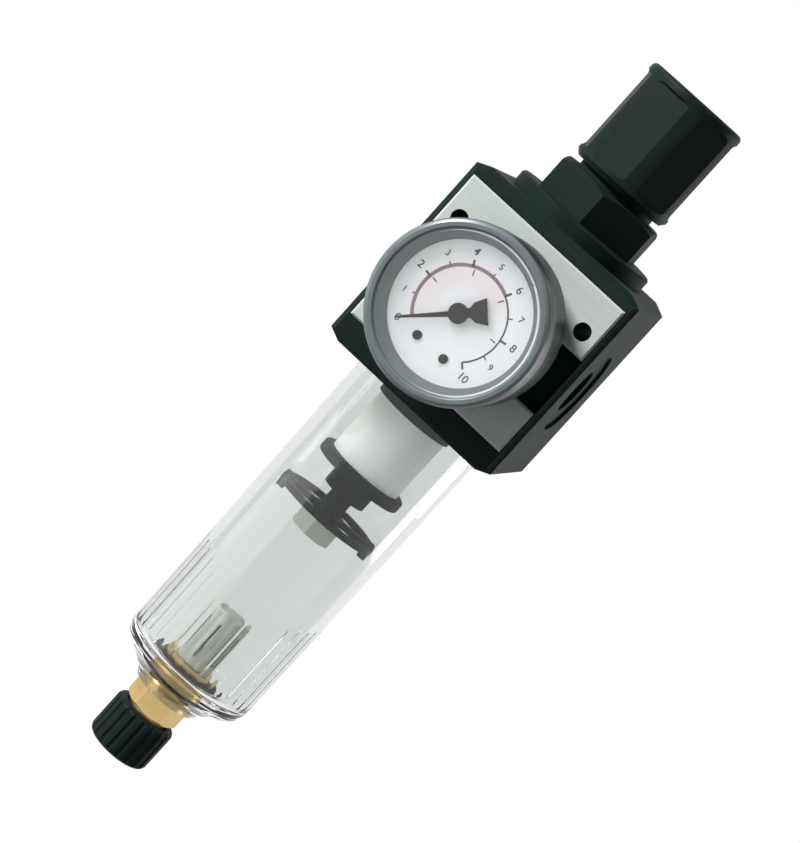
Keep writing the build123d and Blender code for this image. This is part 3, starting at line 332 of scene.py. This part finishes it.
# Adjusting knob on the spindle's hexagon head, and the small fluted knob of the drain, moulded in
# smoother black plastic. The flats of the large knob meet its round at a shallow angle, and the
# mould eases that edge too.
FLAT_TO_ROUND = 18
gloss = Finish("black_knob_plastic", Specular_IOR_Level=0.06)
knob_flow = gloss.noise(130, 3)
knob_matt = gloss.noise(2800, 3)
gloss.feed(Base_Color=gloss.blend(knob_flow, (0.003, 0.008, 0.007), (0.009, 0.016, 0.014)),
           Roughness=0.42 + 0.1 * knob_flow + 0.05 * knob_matt)
gloss.bump(knob_matt, 0.00002)
dressed(eased("adjusting_knob", 0.3 * MM, sharp=FLAT_TO_ROUND), gloss, "knob")
dressed(eased("drain_knob", 0.2 * MM), gloss, "drain_knob")

# Gauge case, a deep drawn steel cup in dark satin enamel, held to the block by its shank.
# The enamel shows a slight orange peel.
enamel = Finish("gauge_enamel", Specular_IOR_Level=0.1)
peel = enamel.noise(1100, 2)
enamel.feed(Base_Color=enamel.blend(peel, (0.014, 0.021, 0.020), (0.026, 0.035, 0.034)),
            Roughness=0.28 + 0.12 * peel)
enamel.bump(peel, 0.00002).on("gauge_case")

# Pressure tube of the gauge, drawn from phosphor bronze, flattened, bent and soldered into the
# feed block. It has the brown tint of drawn bronze.
bronze = Finish("drawn_bronze", Metallic=1.0)
stain = bronze.noise(300, 3)
bronze.feed(Base_Color=bronze.blend(stain, (0.50, 0.28, 0.14), (0.68, 0.43, 0.24)),
            Roughness=0.25 + 0.2 * stain)
bronze.on("bourdon_tube")

# Dial, a stamped aluminium disc with a matt white ground, screwed to the movement.
# The ground carries a pale pink field in the upper left of the inner scale.
FIELD_EDGE = 10.4 * MM
FIELD_END = 10.6 * MM


def from_axis(finish):
    """X and Z measured from the axis of the gauge, and the distance from it, in metres."""
    across = finish.along("X")
    upward = finish.along("Z") - PORT_Z
    return across, upward, (across * across + upward * upward).root()


dial = Finish("dial_white", Specular_IOR_Level=0.2)
paper = dial.noise(1500, 2)
dial_x, dial_z, dial_radius = from_axis(dial)
field = dial_radius.soft_step(4 * MM, 7 * MM) * (1 - dial_radius.soft_step(FIELD_EDGE, FIELD_END))
field = field * (dial_z - 0.9 * dial_x).soft_step(-3 * MM, 3 * MM)
ground = dial.blend(paper, (0.92, 0.945, 0.965), (0.96, 0.975, 0.985))
dial.feed(Base_Color=dial.blend(0.5 * field, ground, (0.90, 0.76, 0.80)), Roughness=0.5 + 0.2 * paper)
dial.on("gauge_dial")

# Print on the dial: two scale arcs over 270 degrees, eleven strokes and the numbers 0 to 10.
# It is screen printed, here as a skin of ink on the ground, red grey on the left of the arc.
DIAL_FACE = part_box("gauge_dial")[0].y
INK = 0.03
SCALE_START = 225
SCALE_STEP = 27
SCALE_END = SCALE_START - 10 * SCALE_STEP
RED_END = SCALE_START - 6 * SCALE_STEP
INNER_STEP = 18.5
EVEN = {"stroke_at": 11.3, "length": 1.6, "width": 0.5, "number_at": 13.9, "size": 2.5}
ODD = {"stroke_at": 11.1, "length": 1.0, "width": 0.3, "number_at": 13.5, "size": 2.0}


def outward(angle):
    """The direction from the middle of the dial at an angle in degrees."""
    return Vector((math.cos(math.radians(angle)), math.sin(math.radians(angle)), 0))


def stroke(angle, radius, length, width):
    """A stroke that points away from the middle of the dial, with sizes in millimetres."""
    turned = (0, 0, math.radians(angle))
    bpy.ops.object.select_all(action="DESELECT")
    bpy.ops.mesh.primitive_cube_add(size=MM, location=radius * MM * outward(angle), rotation=turned)
    mark = bpy.context.object
    mark.scale = (length, width, 2 * INK)
    bpy.ops.object.transform_apply(location=True, rotation=True, scale=True)
    return mark


def arc(name, inner, outer, first, last, steps):
    """A band of ink between two radii in millimetres and two angles in degrees."""
    band = swept(name, [(inner, -INK), (inner, INK), (outer, INK), (outer, -INK)], steps, turn=last - first)
    only(band)
    band.rotation_euler = (0, 0, math.radians(first))
    bpy.ops.object.transform_apply(location=True, rotation=True, scale=True)
    return band


def printed(name, finish, pieces):
    """Joins flat pieces that lie round the origin and prints them on the dial."""
    only(pieces[0])
    for piece in pieces:
        piece.select_set(True)
    if len(pieces) > 1:
        bpy.ops.object.join()
    pieces[0].name = name
    placed(pieces[0], (0, DIAL_FACE, PORT_Z), (90, 0, 0))
    return dressed(pieces[0], finish, "housing")


black_ink = Finish("dial_ink", Specular_IOR_Level=0.2)
ink_wear = black_ink.noise(2500, 2)
black_ink.feed(Base_Color=black_ink.blend(ink_wear, (0.03, 0.035, 0.035), (0.09, 0.10, 0.10)),
               Roughness=0.5 + 0.2 * ink_wear)
red_ink = Finish("dial_ink_red", Specular_IOR_Level=0.2)
red_wear = red_ink.noise(2500, 2)
red_ink.feed(Base_Color=red_ink.blend(red_wear, (0.22, 0.13, 0.16), (0.34, 0.22, 0.25)),
             Roughness=0.5 + 0.2 * red_wear)

marks = []
for value in range(11):
    style = ODD if value % 2 else EVEN
    angle = SCALE_START - SCALE_STEP * value
    marks.append(stroke(angle, style["stroke_at"], style["length"], style["width"]))
    bpy.ops.object.select_all(action="DESELECT")
    bpy.ops.object.text_add(location=style["number_at"] * MM * outward(angle))
    number = bpy.context.object
    number.data.body = str(value)
    number.data.size = style["size"] * MM
    number.data.align_x = "CENTER"
    number.data.align_y = "CENTER"
    number.data.offset = 0.04 * MM
    number.data.extrude = INK * MM
    bpy.ops.object.convert(target="MESH")
    bpy.ops.object.transform_apply(location=True, rotation=True, scale=True)
    marks.append(bpy.context.object)
for step in range(3, 14, 3):
    marks.append(stroke(SCALE_START - INNER_STEP * step, 9.3, 1.4, 0.3))
marks.append(arc("dial_arc", 10.35, 10.75, SCALE_END, RED_END, 96))
printed("dial_print", black_ink, marks)
printed("dial_print_red", red_ink, [arc("dial_arc_red", 10.25, 11.05, RED_END, SCALE_START, 144)])

# Dial screws, and the pointer with its hub pressed on the arbor, all lacquered black.
# The stamped needle has a faint brown sheen.
lacquer = Finish("black_lacquer", Specular_IOR_Level=0.05)
lacquer_cloud = lacquer.noise(900, 2)
lacquer.feed(Base_Color=lacquer.blend(lacquer_cloud, (0.010, 0.012, 0.011), (0.022, 0.023, 0.022)),
             Roughness=0.4 + 0.2 * lacquer_cloud)
lacquer.on("dial_screws")
for name in ("pointer", "pointer_hub"):
    dressed(eased(name, 0.12 * MM), lacquer, "pointer")

# Liner, the conical ring that spaces the window off the dial.
# It is spun from thin sheet and sprayed grey like the bezel, a little duller.
liner = Finish("liner_enamel", Specular_IOR_Level=0.3)
liner_cloud = liner.noise(260, 3)
liner.feed(Base_Color=liner.blend(liner_cloud, (0.10, 0.13, 0.13), (0.17, 0.20, 0.20)),
           Roughness=0.4 + 0.15 * liner_cloud)
liner.on("gauge_liner")

# Window of the gauge, a disc of clear acrylic dropped in over the liner.
# It is polished and has faint smears from handling.
window = Finish("window_acrylic", Transmission_Weight=1.0, Specular_IOR_Level=0.12, IOR=1.49,
                Base_Color=(0.985, 0.99, 0.99, 1))
smear = window.noise(60, 3)
window.feed(Roughness=0.03 * smear)
window.on("gauge_window")

# Bezel, spun from sheet steel and rolled over the rim of the case to hold the window.
# Its face is enamelled grey. Its skirt is coloured nearly black as painted shade, for the dark that its
# steel reflects at a grazing angle.
FACE_EDGE = 20.2 * MM
rim = Finish("bezel_enamel_and_painted_shade", Metallic=0.2, Specular_IOR_Level=0.2)
rim_cloud = rim.noise(240, 3)
rim_radius = from_axis(rim)[2]
# Painted shade: beyond the face's edge the skirt is coloured nearly black, for the dark that it reflects at
# a grazing angle.
painted_skirt_shade = rim_radius.soft_step(FACE_EDGE, FACE_EDGE + 0.35 * MM)
face = rim.blend(rim_cloud, (0.10, 0.125, 0.13), (0.145, 0.17, 0.175))
rim.feed(Base_Color=rim.blend(painted_skirt_shade, face, (0.030, 0.038, 0.040)), Roughness=0.25 + 0.12 * rim_cloud)
dressed(eased("gauge_bezel", 0.1 * MM), rim, "housing")

# Filter, a sleeve of white polyethylene beads sintered together, clamped under the deflector.
# Its surface is open and granular.
felt = Finish("sintered_white", Specular_IOR_Level=0.3)
beads = felt.node("ShaderNodeTexVoronoi", {}, Vector=felt.place, Scale=2600)
felt.feed(Base_Color=felt.blend(beads, (0.97, 0.97, 0.96), (0.88, 0.89, 0.88)),
          Roughness=0.75 + 0.2 * beads)
felt.bump(1 - beads, 0.0001).on("filter_element")

# Nut under the baffle, and the guide cage and stem of the drain, moulded in grey acetal.
# The plastic is slightly milky.
acetal = Finish("grey_acetal", Specular_IOR_Level=0.45)
milky = acetal.noise(200, 3)
acetal.feed(Base_Color=acetal.blend(milky, (0.40, 0.42, 0.40), (0.52, 0.54, 0.51)),
            Roughness=0.32 + 0.15 * milky)
acetal.on("baffle_nut", "drain_guide", "drain_stem")

# Bowl, moulded in clear polycarbonate with a slight taper and screwed up into the block.
# Fine ribs with tapered tops run down the inside of the sump, and the drain is sealed into the
# neck, so the moulding lies tight on the brass.
RIBS = 32
STEPS_PER_RIB = 8
RIB_PROUD = 0.25
RIB_WIDTH = 0.625
RIB_TOP = -83.5
RIB_TAPER = 2.5
RIB_FOOT = -108.5
COLLAR = 17.3
COLLAR_FOOT = -26.8
BORE = 15.8
NECK_FOOT = -119.4
NECK_BORE = 5.38
rim_and_groove = [(BORE, -13.2), (16.9, -13.2), (COLLAR, -13.6), (COLLAR, -15), (16.2, -15), (16.2, -16.8),
                  (COLLAR, -16.8)]
outside = [(COLLAR, COLLAR_FOOT), (18.2, COLLAR_FOOT), (17.7, -109.5)]
for step in range(1, 7):
    angle = math.radians(-8 - 12 * step)
    outside.append((13.25 + 4.45 * math.cos(angle), -109.9 + 4.6 * math.sin(angle)))
neck = [(9.6, -118.0), (9.35, -118.5), (9.1, -119.2), (8.9, NECK_FOOT), (NECK_BORE, NECK_FOOT),
        (NECK_BORE, SUMP_FLOOR)]
inside = [(9.8, SUMP_FLOOR), (12.0, -111.3)]
for step in range(6):
    angle = math.radians(-70 + 14 * step)
    inside.append((11.7 + 3.6 * math.cos(angle), -107.7 + 3.55 * math.sin(angle)))
inside += [(15.3, -107.2), (15.4, -88), (15.42, -86), (15.43, -84.5), (15.44, -83), (15.45, -81)]
inside += [(15.46, -78), (BORE, -16), (BORE, -14)]
bowl = swept("bowl_moulding", rim_and_groove + outside + neck + inside, RIBS * STEPS_PER_RIB)
for vertex in bowl.data.vertices:
    height = vertex.co.z / MM
    radius = math.hypot(vertex.co.x, vertex.co.y)
    share = (math.degrees(math.atan2(vertex.co.y, vertex.co.x)) * RIBS / 360) % 1
    crest = max(0, 1 - 2 / RIB_WIDTH * min(share, 1 - share))
    taper = min(1, max(0, (RIB_TOP - height) / RIB_TAPER))
    if 14.8 * MM < radius < 15.46 * MM and height > RIB_FOOT:
        vertex.co.xy *= 1 - RIB_PROUD * MM * crest * taper / radius
clear = Finish("clear_polycarbonate", Transmission_Weight=1.0, Specular_IOR_Level=0.22, IOR=1.4,
               Base_Color=(0.77, 0.79, 0.775, 1))
haze = clear.noise(40, 3)
clear.feed(Roughness=0.05 * haze)
placed(bowl, (0, STEM_Y, PORT_Z))
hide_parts("bowl")
dressed(bowl, clear, "bowl")

# Thread on the collar of the bowl, moulded with it: five turns that screw into the block.
# It shows when the bowl is let down.
BOWL_PITCH = 1.5
BOWL_TURNS = 5
THREAD_FOOT = COLLAR - 0.05
THREAD_CREST = COLLAR + 0.25
bowl_ridge = [(THREAD_FOOT, -0.55), (THREAD_FOOT, 0.55), (THREAD_CREST, 0.15), (THREAD_CREST, -0.15)]
thread = swept("bowl_thread", bowl_ridge, 96, turns=BOWL_TURNS, pitch=BOWL_PITCH)
placed(thread, (0, STEM_Y, PORT_Z + (COLLAR_FOOT + 1) * MM))
dressed(thread, clear, "bowl")

# Studio: a pale floor that keeps a soft shadow, and white all round for the camera and for what
# metal and glass show. The key light stands high on the left, a dim card low beside the bowl on
# the left, and a small strip behind on the right.
FLOOR_Z = cad_box[0].z - 150 * MM
FLOOR_GLOW = 1.12
GLOW_SHARE = 0.88
SURROUND_LIGHT = 0.08
bpy.ops.object.select_all(action="DESELECT")
bpy.ops.mesh.primitive_plane_add(size=60, location=(0, 0, FLOOR_Z))
floor = bpy.context.object
floor.name = "studio_floor"


def seen(tree):
    """1 for rays of the camera and for what metal and glass show, 0 for light on the object."""
    path = tree.nodes.new("ShaderNodeLightPath")
    total = path.outputs["Is Camera Ray"]
    for kind in ("Is Glossy Ray", "Is Transmission Ray"):
        either = tree.nodes.new("ShaderNodeMath")
        either.operation = "MAXIMUM"
        tree.links.new(total, either.inputs[0])
        tree.links.new(path.outputs[kind], either.inputs[1])
        total = either.outputs[0]
    return total


paint = Finish("floor_paint", Base_Color=(0.35, 0.35, 0.35, 1), Roughness=0.9)
bright = paint.tree.nodes.new("ShaderNodeEmission")
bright.inputs["Strength"].default_value = FLOOR_GLOW
glow = Value(paint, seen(paint.tree)) * GLOW_SHARE
painted = paint.tree.nodes.new("ShaderNodeMixShader")
paint.tree.links.new(glow.socket, painted.inputs["Fac"])
paint.tree.links.new(paint.shader.outputs[0], painted.inputs[1])
paint.tree.links.new(bright.outputs[0], painted.inputs[2])
paint.tree.links.new(painted.outputs[0], paint.tree.nodes["Material Output"].inputs["Surface"])
floor.data.materials.append(paint.material)

bpy.context.scene.view_settings.view_transform = "Standard"
world = bpy.data.worlds.new("studio_world")
bpy.context.scene.world = world
world.use_nodes = True
sky = world.node_tree
dim = sky.nodes["Background"]
dim.inputs["Color"].default_value = (0.92, 0.95, 1.0, 1)
dim.inputs["Strength"].default_value = SURROUND_LIGHT
white = sky.nodes.new("ShaderNodeBackground")
white.inputs["Color"].default_value = (1, 1, 1, 1)
both = sky.nodes.new("ShaderNodeMixShader")
sky.links.new(seen(sky), both.inputs["Fac"])
sky.links.new(dim.outputs[0], both.inputs[1])
sky.links.new(white.outputs[0], both.inputs[2])
sky.links.new(both.outputs[0], sky.nodes["World Output"].inputs["Surface"])


def softbox(name, place, size, watts, target_height):
    """A rectangular area lamp that faces the object's axis at the target's height."""
    light = bpy.data.lights.new(name, "AREA")
    light.shape = "RECTANGLE"
    light.size, light.size_y = size
    light.energy = watts
    lamp = bpy.data.objects.new(name, light)
    bpy.context.scene.collection.objects.link(lamp)
    lamp.location = place
    facing = Vector((0, STEM_Y, target_height)) - Vector(place)
    lamp.rotation_euler = facing.to_track_quat("-Z", "Y").to_euler()
    return lamp


softbox("key_softbox", (-0.72, -0.58, 0.46), (0.28, 0.28), watts=22, target_height=-0.045)
softbox("right_strip", (0.37, 0.31, -0.02), (0.2, 0.26), watts=0.6, target_height=-0.05)
card = softbox("left_card", (-0.33, -0.21, -0.20), (0.5, 0.15), watts=0.4, target_height=-0.20)
card.visible_diffuse = False

# Camera of the photograph: a long lens from the front, slightly from the right and above, and
# rolled so that the object lies aslant in the picture.
ROLL = math.radians(42)
AZIMUTH = math.radians(8.9)
ELEVATION = math.radians(8.1)
DISTANCE = 0.7
LENS = 127.7
AIM_DROP = 33.2 * MM
AIM_LEFT = 1.66 * MM
reach = math.cos(ELEVATION)
back = Vector((reach * math.sin(AZIMUTH), -reach * math.cos(AZIMUTH), math.sin(ELEVATION)))
level = Vector((math.cos(AZIMUTH), math.sin(AZIMUTH), 0))
upright = back.cross(level)
aim = Vector((0, STEM_Y, PORT_Z - AIM_DROP)) - AIM_LEFT * level
camera_data = bpy.data.cameras.new("camera")
camera_data.sensor_width = 36
camera_data.lens = LENS
camera = bpy.data.objects.new("camera", camera_data)
bpy.context.scene.collection.objects.link(camera)
right = math.cos(ROLL) * level + math.sin(ROLL) * upright
up = math.cos(ROLL) * upright - math.sin(ROLL) * level
rotation = Matrix((right, up, back)).transposed()
camera.matrix_world = Matrix.Translation(aim + DISTANCE * back) @ rotation.to_4x4()
bpy.context.scene.camera = camera
